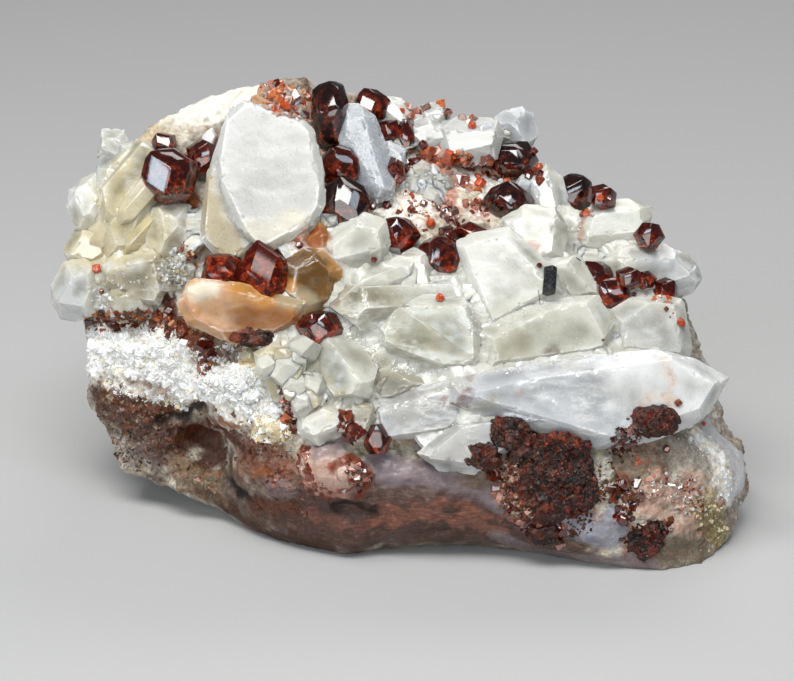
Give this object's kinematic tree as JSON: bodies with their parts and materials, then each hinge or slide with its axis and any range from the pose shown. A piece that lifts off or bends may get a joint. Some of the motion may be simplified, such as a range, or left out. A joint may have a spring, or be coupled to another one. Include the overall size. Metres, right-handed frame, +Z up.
{
  "type": "garnet on matrix",
  "caption": "Mineral specimen: dark red garnets and milky quartz crystals on a broken block of feldspar and massive quartz, resting on its flat foot.",
  "frame": {"origin": "centre of the footprint on the surface that the block rests on", "axes": "+X along the long side of the block, to the right of a person who faces the crystals; +Y from the crystals towards the broken back; +Z up"},
  "size_m": [0.0897, 0.0579, 0.0537],
  "materials": {
    "matrix": "broken feldspar and massive quartz, matt to dull",
    "quartz": "milky, translucent, glossy faces",
    "amber_quartz": "amber, translucent, glossy faces",
    "garnet": "deep red to nearly black, glassy faces",
    "schorl": "black, glossy"
  },
  "bodies": {
    "root": {"garnet_back_black": "garnet", "garnet_black": "garnet", "garnet_blue_face": "garnet", "garnet_centre": "garnet", "garnet_centre_left": "garnet", "garnet_crest_front": "garnet", "garnet_crest_low": "garnet", "garnet_crest_pair": "garnet", "garnet_edge": "garnet", "garnet_lead": "garnet", "garnet_left_small": "garnet", "garnet_lens": "garnet", "garnet_low": "garnet", "garnet_mass": "garnet", "garnet_notch": "garnet", "garnet_pair": "garnet", "garnet_patch_foot": "garnet", "garnet_patch_left": "garnet", "garnet_patch_oval": "garnet", "garnet_patch_right": "garnet", "garnet_patch_upper": "garnet", "garnet_rider": "garnet", "garnet_right_pair": "garnet", "garnet_right_ring": "garnet", "garnet_right_small": "garnet", "garnet_right_top": "garnet", "garnet_right_top_small": "garnet", "garnet_seam": "garnet", "garnet_tall": "garnet", "garnet_wedge": "garnet", "garnet_wedge_small": "garnet", "matrix": "matrix", "quartz_amber": "amber_quartz", "quartz_back_crystals": "quartz", "quartz_back_cube": "quartz", "quartz_block_centre": "quartz", "quartz_block_upper": "quartz", "quartz_bluish_low": "quartz", "quartz_centre_mass": "quartz", "quartz_cluster_left": "quartz", "quartz_cream_low": "quartz", "quartz_crest": "quartz", "quartz_diagonal": "quartz", "quartz_fan": "quartz", "quartz_grey_column": "quartz", "quartz_lobe_lower": "quartz", "quartz_lobe_middle": "quartz", "quartz_lobe_upper": "quartz", "quartz_long_point": "quartz", "quartz_olive_block": "quartz", "quartz_olive_wedge": "quartz", "quartz_plates": "quartz", "quartz_right_behind": "quartz", "quartz_right_lobe": "quartz", "quartz_right_middle": "quartz", "quartz_right_upper": "quartz", "quartz_tip_left": "quartz", "quartz_twin_points": "quartz", "quartz_white_blade": "quartz", "schorl_prism": "schorl"}
  },
  "joints": []
}
